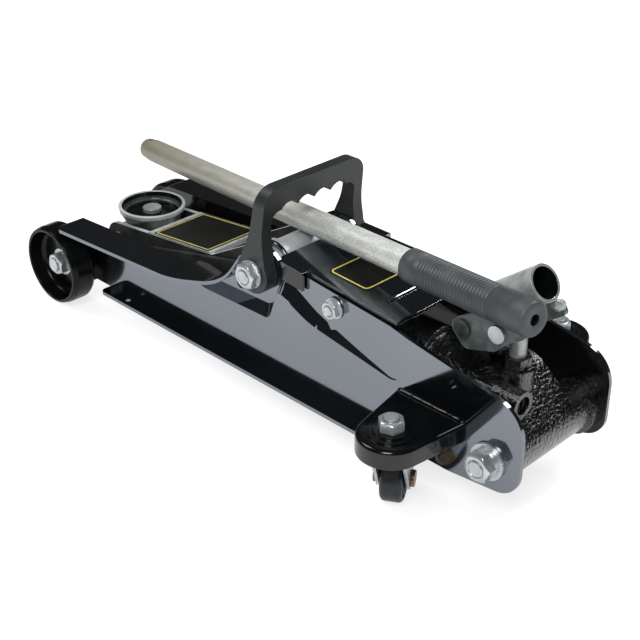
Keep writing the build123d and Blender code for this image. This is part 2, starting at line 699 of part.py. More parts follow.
def socket_yoke():
    cheek_face = outline(
        (socket_pin_x - 14.5, socket_pin_z + 0.4, 7), (socket_pin_x + 1.5, socket_pin_z - 15.6, 6),
        (push_pin_x - 1.5, push_pin_z - 14.4, 8), (push_pin_x + 7.5, push_pin_z - 5.4, 6),
        (push_pin_x + 21.5, push_pin_z + 4.6, 3), (push_pin_x + 17.5, push_pin_z + 12, 5),
        (push_pin_x - 16.5, push_pin_z + 9.4, 8))
    cheek = prism(cheek_face, -cheek_inner_y, -cheek_inner_y - cheek_sheet)
    yoke = cheek + other_side(cheek)
    strap_length = 9
    strap_height = 3.6
    sink = 0.8
    flat = Plane(socket_end + socket_run * strap_length, x_dir=-socket_run, z_dir=(0, -1, 0))
    strap_drop = socket_outer_r - sink + strap_height / 2
    strap = Pos(strap_length / 2, strap_drop) * Rectangle(strap_length, strap_height)
    yoke += extrude(flat * strap, amount=cheek_inner_y, both=True)
    yoke -= socket_rod(socket_outer_r, -1, socket_length + 1)
    yoke -= rod_y(socket_pin_x, socket_pin_z, socket_pin_r + run_gap, -60, 60)
    yoke -= rod_y(push_pin_x, push_pin_z, push_pin_r + run_gap, -60, 60)
    return yoke


def headed_pin(x, z, radius):
    outer_y = cheek_inner_y + cheek_sheet
    pin = rod_y(x, z, radius, -outer_y - 1, outer_y + 1)
    head = rod_y(x, z, pin_head_r, -outer_y - run_gap, -outer_y - pin_head_height)
    return pin + head + other_side(head)


save("socket_yoke", socket_yoke())
socket_tube = socket_rod(socket_outer_r, 0, socket_length)
save("socket_tube", socket_tube - socket_rod(socket_bore_r, -1, socket_length + 1))
save("socket_pivot_pin", headed_pin(socket_pin_x, socket_pin_z, socket_pin_r))
save("plunger_push_pin", headed_pin(push_pin_x, push_pin_z, push_pin_r))


# Rear casters under their brackets
def caster_bracket():
    circle = Pos(caster_x, -caster_y) * Circle(bracket_r)
    root_length = bracket_root_length
    root_middle = caster_x - 1.8
    root = Pos(root_middle, -web_outer_y - 0.5) * Rectangle(root_length, 1)
    plan = hull(circle, root)
    low_z = bracket_top_z - bracket_skirt
    bracket = Pos(0, 0, low_z) * extrude(plan, amount=bracket_skirt)
    rim = bracket.edges().group_by(Axis.Z)[-1].filter_by(lambda e: e.center().Y < -web_outer_y - 1.5)
    bracket = fillet(rim, 3)
    hollow = offset(plan, amount=-bracket_sheet)
    inside = Pos(0, 0, low_z - 1) * extrude(hollow, amount=bracket_skirt - bracket_sheet + 1)
    inside += Pos(root_middle, -web_outer_y, low_z - 1) * Box(
        root_length - 2 * bracket_sheet, 12, 2 * (bracket_skirt - bracket_sheet + 1))
    bracket -= inside & (Pos(0, 0, low_z - 2) * Box(900, 900, 2 * (bracket_skirt - bracket_sheet + 2)))
    bracket += rod_z(caster_x, -caster_y, 16, bracket_top_z - 1, bracket_top_z + 1.5)
    bracket += rod_z(caster_x, -caster_y, 12.5, bracket_top_z - 1, bracket_top_z + 3)
    return bracket - rod_z(caster_x, -caster_y, stem_r + bolt_hole_gap, 0, 100)


race_top_z = bracket_top_z - bracket_sheet
crown_top_z = race_top_z - race_height
crown_low_z = crown_top_z - bracket_sheet
stem_nut_z = bracket_top_z + 3
at_caster = Pos(caster_x, -caster_y, 0) * Rot(0, 0, caster_turn)


def caster_fork():
    """Pressed fork, drawn with its trail along X and then turned to where it points."""
    inner = caster_wheel_width / 2 + fork_gap
    outer = inner + fork_sheet
    crown = rod_z(0, 0, 15, crown_low_z, crown_top_z)
    top = Pos(4, (crown_low_z + crown_top_z) / 2) * Rectangle(26, crown_top_z - crown_low_z)
    leg_face = hull(top, disc(caster_trail, caster_wheel_r, 8))
    leg = prism(leg_face, -inner, -outer)
    bridge = Pos(4, 0, (crown_low_z + crown_top_z) / 2) * Box(26, 2 * outer, crown_top_z - crown_low_z)
    fork = crown + bridge + leg + other_side(leg)
    fork -= rod_z(0, 0, stem_r + run_gap, 0, 100)
    fork -= rod_y(caster_trail, caster_wheel_r, caster_axle_r + run_gap, -40, 40)
    return at_caster * fork


def caster_wheel():
    half = caster_wheel_width / 2
    profile = outline(
        (caster_axle_r + run_gap, -half), (9, -half), (10, -half + 1.5), (caster_wheel_r - 5, -half + 1.5),
        (caster_wheel_r - 4, -half), (caster_wheel_r, -half, 3.5), (caster_wheel_r, half, 3.5),
        (caster_wheel_r - 4, half), (caster_wheel_r - 5, half - 1.5), (10, half - 1.5), (9, half),
        (caster_axle_r + run_gap, half))
    flat = Plane((caster_trail, 0, caster_wheel_r), x_dir=(1, 0, 0), z_dir=(0, 0, -1))
    return at_caster * revolve(flat * profile, Axis((caster_trail, 0, caster_wheel_r), (0, 1, 0)))


def caster_axle():
    reach = caster_wheel_width / 2 + fork_gap + fork_sheet
    axle = rod_y(caster_trail, caster_wheel_r, caster_axle_r, -reach - 0.2, reach + 0.2)
    head = rod_y(caster_trail, caster_wheel_r, 6, -reach - 0.1, -reach - 2.6)
    return at_caster * (axle + head + other_side(head))


save_pair("caster_bracket", caster_bracket())
save_pair("caster_fork", caster_fork())
save_pair("caster_wheel", caster_wheel())
save_pair("caster_axle", caster_axle())
race = rod_z(caster_x, -caster_y, 14, crown_top_z + seat_gap, race_top_z)
race -= rod_z(caster_x, -caster_y, stem_r + run_gap, 0, 100)
save("caster_races", both_sides(race))
stem = rod_z(caster_x, -caster_y, stem_r, crown_low_z - 3, stem_nut_z + 9)
stem += rod_z(caster_x, -caster_y, 8.5, crown_low_z - 3 - seat_gap, crown_low_z - seat_gap)
save("caster_stems", both_sides(stem))
nut = hex_z(caster_x, -caster_y, 16, stem_nut_z, stem_nut_z + 8)
save("caster_stem_nuts", both_sides(nut - rod_z(caster_x, -caster_y, stem_r + run_gap, 0, 100)))


# Loose pump bar with its grip, lying on the arm hub and the socket yoke
bar_rest = Vector(pivot_x, bar_rest_y, bar_rest_z)
bar_rear = Vector(trunnion_x + bar_rear_reach, bar_rear_y, bar_rear_z)
bar_run = (bar_rear - bar_rest).normalized()
bar_front = bar_rest + bar_run * ((axle_x - bar_front_reach - pivot_x) / bar_run.X)
bar_length = (bar_rear - bar_front).length


def bar_rod(radius, start, finish):
    base = bar_front + bar_run * start
    return extrude(Plane(base, z_dir=bar_run) * Circle(radius), amount=finish - start)


tube_end = bar_length - grip_cap
nose_plane = Plane(bar_front + bar_run * bar_taper, z_dir=-bar_run)
tube = bar_rod(bar_r, bar_taper, tube_end)
tube += extrude(nose_plane * Circle(bar_r), amount=bar_taper, taper=bar_taper_angle)
tube -= bar_rod(bar_r - bar_wall, bar_taper, tube_end + 1)
tube -= extrude(nose_plane * Circle(bar_r - bar_wall), amount=bar_taper, taper=bar_taper_angle)
button = bar_front + bar_run * (bar_taper / 2)
tube -= rod_z(button.X, button.Y, bar_button_r, button.Z, button.Z + 2 * bar_r)
save("pump_bar", tube)
grip = bar_rod(grip_r, bar_length - grip_length, bar_length) - bar_rod(bar_r + run_gap, 0, tube_end + 0.05)
save("bar_grip", grip - bar_rod(2, 0, bar_length + 1))
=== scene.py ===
import math
import random
import bmesh
import bpy
from mathutils import Matrix, Vector


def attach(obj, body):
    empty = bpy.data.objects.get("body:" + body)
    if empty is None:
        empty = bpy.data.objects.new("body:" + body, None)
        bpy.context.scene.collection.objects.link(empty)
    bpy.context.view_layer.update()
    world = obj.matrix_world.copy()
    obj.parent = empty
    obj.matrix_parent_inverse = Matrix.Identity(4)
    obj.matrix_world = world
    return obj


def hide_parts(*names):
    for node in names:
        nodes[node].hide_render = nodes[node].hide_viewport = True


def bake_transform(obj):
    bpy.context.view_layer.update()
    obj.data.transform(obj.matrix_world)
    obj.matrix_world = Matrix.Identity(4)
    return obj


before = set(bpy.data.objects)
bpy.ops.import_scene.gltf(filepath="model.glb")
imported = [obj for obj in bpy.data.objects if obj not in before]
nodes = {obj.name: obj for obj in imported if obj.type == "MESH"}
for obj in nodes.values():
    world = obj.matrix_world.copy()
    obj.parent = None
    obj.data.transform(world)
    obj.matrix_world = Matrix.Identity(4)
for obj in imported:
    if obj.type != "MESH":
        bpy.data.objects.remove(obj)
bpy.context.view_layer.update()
scene = bpy.context.scene
scene.view_settings.view_transform = "Standard"
mm = 0.001
print("frame loaded,", len(nodes), "CAD nodes")


# colours and materials
def hexColour(text):
    # from screen colour to linear light
    parts = [int(text[i:i + 2], 16) / 255 for i in (1, 3, 5)]
    return tuple(c / 12.92 if c <= 0.04045 else ((c + 0.055) / 1.055) ** 2.4 for c in parts) + (1.0,)


def addNode(tree, kind, links=None, **settings):
    node = tree.nodes.new("ShaderNode" + kind)
    for key, value in settings.items():
        setattr(node, key, value)
    for key, value in (links or {}).items():
        if isinstance(value, bpy.types.NodeSocket):
            tree.links.new(value, node.inputs[key])
        else:
            node.inputs[key].default_value = value
    return node


# the mix node keeps its colours after its plain values, so they are found by number
colourSockets = {"first": 6, "second": 7, "result": 2}


def mixColours(tree, factor, first, second):
    mix = addNode(tree, "Mix", {"Factor": factor}, data_type="RGBA")
    for entry, value in (("first", first), ("second", second)):
        place = mix.inputs[colourSockets[entry]]
        if isinstance(value, bpy.types.NodeSocket):
            tree.links.new(value, place)
        else:
            place.default_value = hexColour(value)
    return mix.outputs[colourSockets["result"]]


def perMetre(size):
    # how many repeats of a size in mm fit in a metre
    return 1 / (size * mm)


noiseSpan = {"From Min": 0.3, "From Max": 0.7}  # where the noise really lies
speckSoft = 0.06  # how softly a speck starts, in levels of the noise
wear = {"edge": {"From Min": 0.53, "From Max": 0.62}, "patch": {"From Min": 0.5, "From Max": 0.62},
        "patchSize": 7}


def makeMaterial(name, spec):
    material = bpy.data.materials.new(name)
    material.use_nodes = True
    tree = material.node_tree
    shader = tree.nodes["Principled BSDF"]
    place = addNode(tree, "TexCoord").outputs["Object"]
    stretch = spec.get("stretch", (1, 1, 1))
    stretched = addNode(tree, "Mapping", {"Vector": place, "Scale": stretch}).outputs[0]
    # large cloudy change of tone
    cloud = addNode(tree, "TexNoise", {"Vector": stretched, "Scale": perMetre(spec["cloud"]), "Detail": 6.0})
    cloudSpan = addNode(tree, "MapRange", {"Value": cloud.outputs["Fac"], **noiseSpan})
    colour = mixColours(tree, cloudSpan.outputs[0], spec["dark"], spec["light"])
    # fine grain of the surface
    grain = addNode(tree, "TexNoise", {"Vector": stretched, "Scale": perMetre(spec["grain"]), "Detail": 3.0})
    # one end darker and warmer, fading out between two places along X
    if spec.get("fade"):
        fadeColour, fadeFrom, fadeTo = spec["fade"]
        along = addNode(tree, "SeparateXYZ", {0: place}).outputs["X"]
        fadeSpan = addNode(tree, "MapRange", {"Value": along, "From Min": fadeFrom * mm,
                                              "From Max": fadeTo * mm})
        colour = mixColours(tree, fadeSpan.outputs[0], fadeColour, colour)
    # specks of another tone, such as mill scale or slag
    if spec.get("speck"):
        speckColour, speckSize, speckFrom = spec["speck"]
        dots = addNode(tree, "TexNoise", {"Vector": stretched, "Scale": perMetre(speckSize), "Detail": 4.0})
        dotSpan = addNode(tree, "MapRange", {"Value": dots.outputs["Fac"], "From Min": speckFrom,
                                             "From Max": speckFrom + speckSoft})
        colour = mixColours(tree, dotSpan.outputs[0], colour, speckColour)
    # rubbed edges show the bare metal, broken up by patches
    if spec.get("worn"):
        edge = addNode(tree, "NewGeometry").outputs["Pointiness"]
        edgeSpan = addNode(tree, "MapRange", {"Value": edge, **wear["edge"]})
        patch = addNode(tree, "TexNoise", {"Vector": place, "Scale": perMetre(wear["patchSize"]),
                                           "Detail": 8.0})
        patchSpan = addNode(tree, "MapRange", {"Value": patch.outputs["Fac"], **wear["patch"]})
        rubbed = addNode(tree, "Math", {0: edgeSpan.outputs[0], 1: patchSpan.outputs[0]},
                         operation="MULTIPLY")
        colour = mixColours(tree, rubbed.outputs[0], colour, spec["worn"])
    tree.links.new(colour, shader.inputs["Base Color"])
    rough = addNode(tree, "MapRange", {"Value": cloud.outputs["Fac"], **noiseSpan,
                                       "To Min": spec["rough"][0], "To Max": spec["rough"][1]})
    tree.links.new(rough.outputs[0], shader.inputs["Roughness"])
    bump = addNode(tree, "Bump", {"Height": grain.outputs["Fac"], "Strength": spec["bump"],
                                  "Distance": spec["depth"] * mm})
    tree.links.new(bump.outputs[0], shader.inputs["Normal"])
    if spec.get("coat"):
        tree.links.new(bump.outputs[0], shader.inputs["Coat Normal"])
    shader.inputs["Metallic"].default_value = spec.get("metal", 0.0)
    shader.inputs["IOR"].default_value = spec.get("ior", 1.5)
    shader.inputs["Specular Tint"].default_value = hexColour(spec.get("sheen", "#ffffff"))
    shader.inputs["Coat Weight"].default_value = spec.get("coat", 0.0)
    shader.inputs["Coat IOR"].default_value = spec.get("coatIor", 1.5)
    shader.inputs["Coat Roughness"].default_value = spec.get("coatRough", 0.03)
    return material


# sizes of clouds, grain, specks and relief are in mm
materials = {
    # stove enamel on pressed steel: deep black under a hard, wet-looking, slightly blue gloss
    "blackEnamel": makeMaterial("black_stove_enamel", {
        "dark": "#07080a", "light": "#0e1013", "cloud": 60, "grain": 5.0, "bump": 0.05, "depth": 0.15,
        "rough": (0.07, 0.12), "ior": 3.2, "sheen": "#e8f2fc"}),
    # the same enamel, thinner, on wheels that get knocked about
    "wheelEnamel": makeMaterial("black_wheel_enamel", {
        "dark": "#060707", "light": "#0e0f10", "cloud": 25, "grain": 2.5, "bump": 0.12, "depth": 0.2,
        "rough": (0.16, 0.3), "ior": 1.3, "worn": "#6a6c6e"}),
    # brushed-on black paint of the welded brackets, a little less glossy than the enamel: partly painted
    # shade, standing in for the shadowed floor they would mirror; on the plates' insides and the cover's tabs
    # the same weaker gloss is painted shade
    "bracketPaintAndShade": makeMaterial("black_bracket_paint_and_painted_shade", {
        "dark": "#060708", "light": "#0c0d0f", "cloud": 20, "grain": 3.0, "bump": 0.1, "depth": 0.2,
        "rough": (0.08, 0.16), "ior": 1.55}),
    # hard tread of the casters: blue-grey black, dull
    "casterTread": makeMaterial("hard_caster_tread", {
        "dark": "#15191d", "light": "#272c31", "cloud": 10, "grain": 1.5, "bump": 0.25, "depth": 0.2,
        "rough": (0.3, 0.5), "worn": "#5b6066"}),
    # sand-cast iron under black paint: pebbled skin that breaks up every highlight
    "castBlack": makeMaterial("painted_sand_cast_iron", {
        "dark": "#050506", "light": "#0e0f10", "cloud": 14, "grain": 2.4, "bump": 1.0, "depth": 1.1,
        "rough": (0.2, 0.4), "ior": 1.25, "coat": 1.0, "coatIor": 2.0, "coatRough": 0.06}),
    # silver paint on the lift arm and the saddle
    "silverPaint": makeMaterial("silver_arm_paint", {
        "dark": "#a6aaab", "light": "#c3c7c8", "cloud": 30, "grain": 1.5, "bump": 0.1, "depth": 0.15,
        "rough": (0.3, 0.45), "metal": 0.2, "worn": "#6a665f"}),
    # the same silver paint on the arm's cheeks and the link rods, darkened almost to black: painted shade,
    # for the deep shade between the plates
    "paintedShadeSilver": makeMaterial("silver_paint_with_painted_shade", {
        "dark": "#262826", "light": "#464946", "cloud": 18, "grain": 2.0, "bump": 0.2, "depth": 0.2,
        "rough": (0.26, 0.42), "metal": 0.3}),
    # the saddle's outside below its bright rim, darker than the rim
    "saddleSide": makeMaterial("dark_saddle_side_casting", {
        "dark": "#39413f", "light": "#616a67", "cloud": 16, "grain": 2.0, "bump": 0.3, "depth": 0.2,
        "rough": (0.2, 0.36), "metal": 0.5}),
    # dark grey paint on the yoke
    "greyPaint": makeMaterial("dark_grey_yoke_paint", {
        "dark": "#465251", "light": "#606c6b", "cloud": 14, "grain": 1.2, "bump": 0.15, "depth": 0.2,
        "rough": (0.3, 0.5), "coat": 0.4, "coatRough": 0.2, "worn": "#a2a6a4"}),
    # bare drawn steel tube with fine mill scale
    "drawnSteel": makeMaterial("bare_drawn_steel_tube", {
        "dark": "#d2d6d1", "light": "#ecefeb", "cloud": 9, "grain": 0.8, "bump": 0.3, "depth": 0.1,
        "stretch": (0.6, 1.5, 1.5), "rough": (0.3, 0.46), "metal": 0.35, "speck": ("#8d908c", 0.9, 0.58),
        "fade": ("#8f8873", -240, 120)}),
    # bare steel of the socket tube and the plunger, brighter on rubbed edges
    "socketSteel": makeMaterial("bare_socket_steel", {
        "dark": "#a4aba8", "light": "#ccd2cf", "cloud": 8, "grain": 1.0, "bump": 0.25, "depth": 0.1,
        "rough": (0.3, 0.46), "metal": 0.45, "worn": "#d6dad8"}),
    # painted shade: near black with very little gloss, inside tubes and holes, and on the release valve sunk
    # in its recess
    "paintedShadeBlack": makeMaterial("painted_shade_black", {
        "dark": "#090a0b", "light": "#141617", "cloud": 12, "grain": 1.5, "bump": 0.2, "depth": 0.15,
        "rough": (0.45, 0.6), "ior": 1.2}),
    # bright zinc plating on fasteners: silvery, faintly blue and cloudy
    "zincPlate": makeMaterial("bright_zinc_plate", {
        "dark": "#b2b8bb", "light": "#d9dfe1", "cloud": 9, "grain": 0.8, "bump": 0.06, "depth": 0.05,
        "rough": (0.18, 0.3), "metal": 0.7}),
    # blue-white zinc on the caster forks
    "blueZinc": makeMaterial("blue_white_zinc_plate", {
        "dark": "#98a4ac", "light": "#cfd9df", "cloud": 6, "grain": 0.8, "bump": 0.12, "depth": 0.08,
        "rough": (0.2, 0.34), "metal": 0.8}),
    # weathered zinc on the socket's pivot pin, dull and dark
    "dullZinc": makeMaterial("dull_zinc_plate", {
        "dark": "#3c403f", "light": "#5c615e", "cloud": 5, "grain": 0.8, "bump": 0.15, "depth": 0.08,
        "rough": (0.3, 0.45), "metal": 0.6}),
    # yellow chromate on the caster axles
    "yellowZinc": makeMaterial("yellow_chromate_zinc", {
        "dark": "#6e5a44", "light": "#a88a68", "cloud": 4, "grain": 0.8, "bump": 0.1, "depth": 0.08,
        "rough": (0.25, 0.4), "metal": 0.8}),
    # ground and polished rod
    "groundSteel": makeMaterial("ground_steel_rod", {
        "dark": "#b9bcbd", "light": "#dfe2e2", "cloud": 12, "grain": 0.5, "bump": 0.05, "depth": 0.05,
        "rough": (0.1, 0.2), "metal": 1.0}),
    # oiled spring wire
    "springWire": makeMaterial("oiled_spring_wire", {
        "dark": "#2b2d2e", "light": "#55585a", "cloud": 4, "grain": 0.6, "bump": 0.1, "depth": 0.05,
        "rough": (0.2, 0.34), "metal": 0.8}),
    # lumpy weld metal, bright under a little slag
    "weldMetal": makeMaterial("weld_metal", {
        "dark": "#8e9492", "light": "#cdd2d0", "cloud": 3, "grain": 1.2, "bump": 0.5, "depth": 0.3,
        "rough": (0.28, 0.46), "metal": 0.4, "speck": ("#6d6f5c", 1.4, 0.6)}),
    # moulded nylon handle: near black, fine spark-eroded texture and a dull sheen
    "mouldedNylon": makeMaterial("moulded_black_nylon", {
        "dark": "#222526", "light": "#2d3131", "cloud": 35, "grain": 0.7, "bump": 0.25, "depth": 0.12,
        "rough": (0.36, 0.46)}),
    # dipped vinyl grip: dusty mid grey
    "gripVinyl": makeMaterial("soft_vinyl_grip", {
        "dark": "#3c4042", "light": "#4d5153", "cloud": 16, "grain": 0.8, "bump": 0.2, "depth": 0.1,
        "rough": (0.36, 0.5)}),
    # printed polyester film of the blank label panels
    "labelFilm": makeMaterial("black_label_film", {
        "dark": "#0d0d0c", "light": "#161614", "cloud": 20, "grain": 1.4, "bump": 0.06, "depth": 0.05,
        "rough": (0.3, 0.4)}),
    # yellow printing ink of the keylines
    "keyline": makeMaterial("yellow_label_ink", {
        "dark": "#c9bb55", "light": "#e4d880", "cloud": 8, "grain": 1.0, "bump": 0.05, "depth": 0.03,
        "rough": (0.4, 0.5)}),
}
print("materials made:", len(materials))


# CAD nodes that keep their own shape, with rolled edges, in mm and degrees
edgeFinish = {"merge": 0.02, "flatUnder": 0.5, "rollOver": 38, "rollSteps": 2, "faceWeight": 80}


def finishNode(name, material, edge):
    part = nodes[name]
    part.data.materials.clear()
    part.data.materials.append(materials[material])
    part.data.shade_smooth()
    weld = part.modifiers.new("weld", "WELD")
    weld.merge_threshold = edgeFinish["merge"] * mm
    flat = part.modifiers.new("flat", "DECIMATE")
    flat.decimate_type = "DISSOLVE"
    flat.delimit = {"MATERIAL"}
    flat.angle_limit = math.radians(edgeFinish["flatUnder"])
    if edge:
        bevel = part.modifiers.new("edge", "BEVEL")
        bevel.width = edge * mm
        bevel.segments = edgeFinish["rollSteps"]
        bevel.limit_method = "ANGLE"
        bevel.angle_limit = math.radians(edgeFinish["rollOver"])
    normals = part.modifiers.new("normals", "WEIGHTED_NORMAL")
    normals.weight = edgeFinish["faceWeight"]


def fromAxis(point, start, run):
    # height along an axis and distance from it
    offset = point - start
    height = offset.dot(run)
    return height, (offset - run * height).length


def paintZone(name, material, place, direction, radii, heights):
    # faces between two radii from an axis and two heights along it take another material
    part = nodes[name]
    part.data.materials.append(materials[material])
    start = Vector(place) * mm
    run = Vector(direction).normalized()
    for face in part.data.polygons:
        height, radius = fromAxis(part.matrix_world @ face.center, start, run)
        if radii[0] * mm < radius < radii[1] * mm and heights[0] * mm < height < heights[1] * mm:
            face.material_index = len(part.data.materials) - 1


crease = {"match": 0.01, "upright": 0.8, "leastBend": 3}  # mm, share of a full sideways look, degrees


def creaseLines(name):
    # pressed creases between the nearly upright faces of a plate stay crisp
    part = nodes[name]
    turn = part.matrix_world.to_3x3()

    def ends(pair):
        places = [part.data.vertices[v].co for v in pair]
        return frozenset(tuple(round(c / (crease["match"] * mm)) for c in place) for place in places)

    looks = {}
    for face in part.data.polygons:
        for pair in face.edge_keys:
            looks.setdefault(ends(pair), []).append((turn @ face.normal).normalized())
    for edge in part.data.edges:
        pair = looks[ends(edge.vertices)]
        if len(pair) != 2 or min(abs(look.y) for look in pair) <= crease["upright"]:
            continue
        if pair[0].angle(pair[1]) > math.radians(crease["leastBend"]):
            edge.use_edge_sharp = True
    part.modifiers["normals"].keep_sharp = True


facingLeast = 0.9  # share of a full look along a direction


def paintFacing(name, material, directions):
    # faces that look along one of some directions take another material
    part = nodes[name]
    part.data.materials.append(materials[material])
    turn = part.matrix_world.to_3x3()
    for face in part.data.polygons:
        look = (turn @ face.normal).normalized()
        if any(look.dot(Vector(direction)) > facingLeast for direction in directions):
            face.material_index = len(part.data.materials) - 1


# material: width of the rolled edge in mm, and the nodes
nodeFinish = {
    "blackEnamel": (0.7, ["left_side_plate", "right_side_plate", "cover_plate", "arm_hub_rings"]),
    # partly painted shade: the brackets' weaker gloss
    "bracketPaintAndShade": (0.7, ["left_caster_bracket", "right_caster_bracket"]),
    "wheelEnamel": (0.7, ["left_front_wheel", "right_front_wheel"]),
    "casterTread": (0.6, ["left_caster_wheel", "right_caster_wheel"]),
    "castBlack": (0.8, ["unit_body", "hydraulic_cylinder", "pump_gland_nut"]),
    "silverPaint": (0.6, ["lift_arm", "saddle_base", "saddle"]),
    # painted shade: the link rods are darkened like the arm's cheeks
    "paintedShadeSilver": (0.6, ["left_link_rod", "right_link_rod"]),
    "greyPaint": (0.6, ["socket_yoke"]),
    "socketSteel": (0.3, ["socket_tube", "pump_plunger"]),
    "drawnSteel": (0.3, ["pump_bar"]),
    "zincPlate": (0.3, ["front_axle", "front_wheel_spacers", "front_axle_washers", "front_axle_nuts",
                        "arm_pivot_shaft", "arm_pivot_collars", "ram_roller", "ram_roller_pin",
                        "saddle_pin", "saddle_bolt", "link_front_pin", "link_rear_pins",
                        "carry_handle_bolts", "cover_bolts", "filler_plug", "rear_bolts", "rear_washers",
                        "rear_spring_washers", "plunger_push_pin", "caster_races", "caster_stems",
                        "caster_stem_nuts"]),
    "blueZinc": (0.3, ["left_caster_fork", "right_caster_fork"]),
    "dullZinc": (0.3, ["socket_pivot_pin"]),
    # painted shade: the release valve is darkened in its recess
    "paintedShadeBlack": (0.3, ["release_valve"]),
    "yellowZinc": (0.3, ["left_caster_axle", "right_caster_axle"]),
    "groundSteel": (0.3, ["ram"]),
    "springWire": (0, ["return_spring"]),
    "mouldedNylon": (0.8, ["carry_handle"]),
    "gripVinyl": (0.4, ["bar_grip"]),
}
for material, (edge, names) in nodeFinish.items():
    for name in names:
        finishNode(name, material, edge)

# painted shade: black in the bore of the socket tube; and the tube's bright sawn rim; both measured back from
# its mouth
socket = {"mouth": (231, 0, 160), "angle": 37, "boreZone": {"radii": (0, 11.5), "heights": (0.2, 48)},
          "rimZone": {"radii": (10.9, 13.2), "heights": (-0.3, 0.3)}}
socketRun = Vector((math.cos(math.radians(socket["angle"])), 0, math.sin(math.radians(socket["angle"]))))
paintZone("socket_tube", "paintedShadeBlack", socket["mouth"], -socketRun, **socket["boreZone"])
paintZone("socket_tube", "zincPlate", socket["mouth"], -socketRun, **socket["rimZone"])
creaseLines("left_side_plate")
creaseLines("right_side_plate")
# painted shade: the plates' insides and the cover's tabs show less gloss than the panels, and the sides of
# the arm and of the saddle's base are darkened
toLeft, toRight = (0, -1, 0), (0, 1, 0)
paintFacing("left_side_plate", "bracketPaintAndShade", [toRight])
paintFacing("right_side_plate", "bracketPaintAndShade", [toLeft])
paintFacing("lift_arm", "paintedShadeSilver", [toRight, toLeft])
paintFacing("saddle_base", "paintedShadeSilver", [toRight, toLeft])
paintFacing("cover_plate", "bracketPaintAndShade", [toRight, toLeft])
# the saddle's dark cup, and its outside darker than the bright rim above it
saddle = {"axis": ((-176, 0, 0), (0, 0, 1)), "cupZone": {"radii": (0, 25.95), "heights": (77.5, 86)},
          "sideZone": {"radii": (18, 30), "heights": (60, 81.5)}}
paintZone("saddle", "bracketPaintAndShade", *saddle["axis"], **saddle["cupZone"])
paintZone("saddle", "saddleSide", *saddle["axis"], **saddle["sideZone"])
print("CAD nodes finished")


# new pieces
def addPiece(name, mesh, material, body, smooth=True):
    data = bpy.data.meshes.new(name)
    mesh.to_mesh(data)
    mesh.free()
    piece = bpy.data.objects.new(name, data)
    scene.collection.objects.link(piece)
    data.materials.append(materials[material])
    if smooth:
        data.shade_smooth()
    if body:
        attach(piece, body)
    return piece


def closeMesh(mesh, within):
    bmesh.ops.remove_doubles(mesh, verts=mesh.verts, dist=within * mm)
    bmesh.ops.recalc_face_normals(mesh, faces=mesh.faces)


def joinInto(mesh, one):
    # one mesh is added to another and freed
    held = bpy.data.meshes.new("held")
    one.to_mesh(held)
    one.free()
    mesh.from_mesh(held)
    bpy.data.meshes.remove(held)


def addTurned(mesh, points, steps):
    # points are (radius, height) in mm, turned about Z
    verts = [mesh.verts.new((r * mm, 0, z * mm)) for r, z in points]
    edges = [mesh.edges.new((verts[i], verts[i + 1])) for i in range(len(verts) - 1)]
    bmesh.ops.spin(mesh, geom=verts + edges, cent=(0, 0, 0), axis=(0, 0, 1), steps=steps, angle=math.tau,
                   use_merge=True)


def spinProfile(points, axisPlace, steps, within):
    mesh = bmesh.new()
    addTurned(mesh, points, steps)
    closeMesh(mesh, within)
    bmesh.ops.transform(mesh, matrix=axisPlace, verts=mesh.verts)
    return mesh


def aimed(place, direction):
    turn = Vector(direction).to_track_quat("Z", "Y").to_matrix().to_4x4()
    return Matrix.Translation(Vector(place) * mm) @ turn


def sweep(mesh, path, radii, sides):
    # round wire along a path of points in mm, with its own radius at each point and closed ends
    points = [Vector(p) * mm for p in path]
    rings = []
    across = None
    for i, point in enumerate(points):
        run = (points[min(i + 1, len(points) - 1)] - points[max(i - 1, 0)]).normalized()
        across = run.orthogonal() if across is None else across - run * across.dot(run)
        across.normalize()
        other = run.cross(across)
        ring = []
        for k in range(sides):
            turn = math.tau * k / sides
            spoke = across * math.cos(turn) + other * math.sin(turn)
            ring.append(mesh.verts.new(point + spoke * radii[i] * mm))
        rings.append(ring)
    for first, second in zip(rings, rings[1:]):
        for k in range(sides):
            mesh.faces.new((first[k], first[(k + 1) % sides], second[(k + 1) % sides], second[k]))
    mesh.faces.new(list(reversed(rings[0])))
    mesh.faces.new(rings[-1])


# ribbed grip, end to end on the bar's own line
grip = {"front": (-224.5, 37.5, 111.4), "rear": (247.5, -32.2, 152.0), "length": 118, "radius": 12.3,
        "bore": 10.05, "ribStart": 17, "ribPitch": 2.9, "ribCount": 24, "steps": 64,
        "groove": ((0, 0), (1.1, 0.35), (1.1, 0.95), (0, 1.3)),  # in from the outside, on along the bar
        "frontLip": ((0.7, 0), (0, 0.8)), "roundEnd": ((0, 3), (0.35, 1.3), (1.3, 0.3), (2.4, 0)),
        "hole": 3.8, "holeLip": 0.4, "holeDepth": 4.8, "boreSet": 0.2, "zoneSlack": (0.1, 1), "merge": 0.005}
barRun = (Vector(grip["rear"]) - Vector(grip["front"])).normalized()
gripStart = Vector(grip["rear"]) - barRun * grip["length"]
full, gripEnd, hole = grip["radius"], grip["length"], grip["hole"]
profile = [(grip["bore"], grip["boreSet"])]
profile += [(full - inward, onward) for inward, onward in grip["frontLip"]]
for i in range(grip["ribCount"]):
    z = grip["ribStart"] + i * grip["ribPitch"]
    profile += [(full - inward, z + onward) for inward, onward in grip["groove"]]
profile += [(full - inward, gripEnd - back) for inward, back in grip["roundEnd"]]
profile += [(hole + grip["holeLip"], gripEnd), (hole, gripEnd - grip["holeLip"]),
            (hole, gripEnd - grip["holeDepth"])]
gripMesh = spinProfile(profile, aimed(gripStart, barRun), grip["steps"], grip["merge"])
gripPiece = addPiece("ribbed_grip", gripMesh, "gripVinyl", "pump_bar")
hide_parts("bar_grip")
gripPiece.data.materials.append(materials["paintedShadeBlack"])
